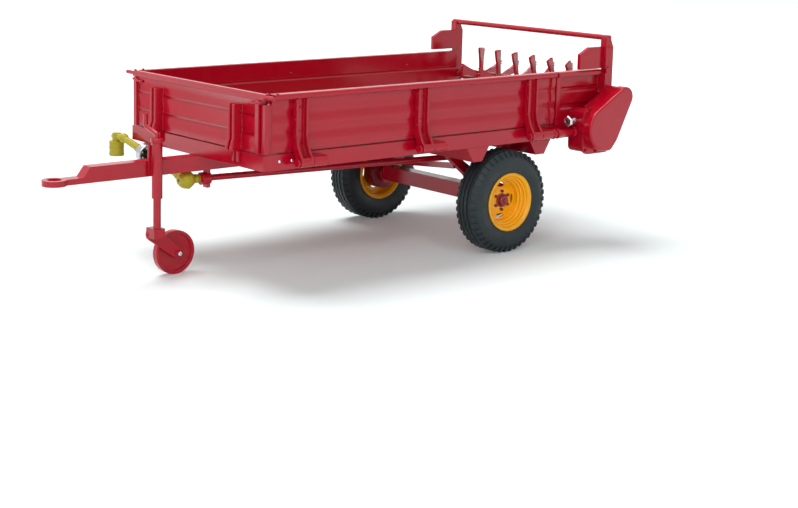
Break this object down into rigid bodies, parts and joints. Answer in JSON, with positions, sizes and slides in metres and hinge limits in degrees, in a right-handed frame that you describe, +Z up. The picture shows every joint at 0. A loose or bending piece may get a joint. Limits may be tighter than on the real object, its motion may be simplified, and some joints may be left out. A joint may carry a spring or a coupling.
{
  "type": "toy manure spreader",
  "caption": "Scale-model manure spreader trailer: low box with folding sides, helical rear beater, PTO drive, drawbar and jockey wheel",
  "frame": {"origin": "centre of the bounding box on the ground plane, under the floor of the box", "axes": "+X forward to the towing eye, +Y the machine's left, +Z up"},
  "size_m": [0.1565, 0.0701, 0.0537],
  "materials": {
    "red_paint": "gloss",
    "tyre": "matte",
    "rim_orange": "gloss",
    "guard_green": "gloss",
    "black_plastic": "satin",
    "chrome": "polished",
    "cream_floor": "satin",
    "dark_red": "gloss"
  },
  "bodies": {
    "chassis": {"side_frames": "red_paint", "cross_members": "red_paint", "floor_deck": "cream_floor", "conveyor_slats": "red_paint", "conveyor_shafts": "chrome", "front_board": "red_paint", "front_rail": "red_paint", "front_apron": "red_paint", "rear_posts": "red_paint", "rear_bars": "red_paint", "guard_plates": "red_paint", "left_rear_panel": "red_paint", "left_hinge_brackets": "red_paint", "right_hinge_brackets": "red_paint", "gear_case": "red_paint", "chain_cover": "red_paint", "hinge_tube": "red_paint", "shaft_hanger": "red_paint", "pto_shaft": "red_paint", "pto_bearing": "red_paint", "pto_guard": "guard_green", "pto_clutch": "black_plastic", "pto_bell": "guard_green", "pto_hook": "chrome", "drawbar": "red_paint", "jack_tube": "red_paint", "jack_crank": "red_paint", "axle_crossbeams": "red_paint", "axle_beam": "red_paint", "axle_hangers": "red_paint", "axle_stay": "red_paint", "gear_pin": "chrome", "conveyor_bearing": "red_paint"},
    "left_side": {"left_board": "red_paint", "left_board_stakes": "red_paint"},
    "right_side": {"right_board": "red_paint", "right_board_stakes": "red_paint"},
    "left_wheel": {"left_tyre": "tyre", "left_rim": "rim_orange", "left_hub": "dark_red"},
    "right_wheel": {"right_tyre": "tyre", "right_rim": "rim_orange", "right_hub": "dark_red"},
    "beater": {"rotor": "red_paint", "rotor_journals": "red_paint"},
    "jack": {"jack_leg": "red_paint"},
    "jockey": {"jockey_wheel": "red_paint"}
  },
  "joints": [
    {"name": "left_side_fold", "type": "hinge", "parent": "chassis", "child": "left_side", "pos_m": [0, 0.03, 0.0295], "axis": [-1, 0, 0], "range_deg": [0, 180]},
    {"name": "right_side_fold", "type": "hinge", "parent": "chassis", "child": "right_side", "pos_m": [0, -0.03, 0.0295], "axis": [1, 0, 0], "range_deg": [0, 180]},
    {"name": "left_wheel_spin", "type": "hinge", "parent": "chassis", "child": "left_wheel", "pos_m": [-0.03662, 0.0251, 0.013], "axis": [0, 1, 0], "continuous": true},
    {"name": "right_wheel_spin", "type": "hinge", "parent": "chassis", "child": "right_wheel", "pos_m": [-0.03662, -0.0251, 0.013], "axis": [0, 1, 0], "continuous": true},
    {"name": "beater_spin", "type": "hinge", "parent": "chassis", "child": "beater", "pos_m": [-0.06997, 0, 0.0382], "axis": [0, 1, 0], "continuous": true},
    {"name": "jack_lift", "type": "slide", "parent": "chassis", "child": "jack", "axis": [0, 0, 1], "range_m": [0, 0.006]},
    {"name": "jockey_spin", "type": "hinge", "parent": "jack", "child": "jockey", "pos_m": [0.04448, -0.0004, 0.0052], "axis": [0, 1, 0], "continuous": true}
  ]
}
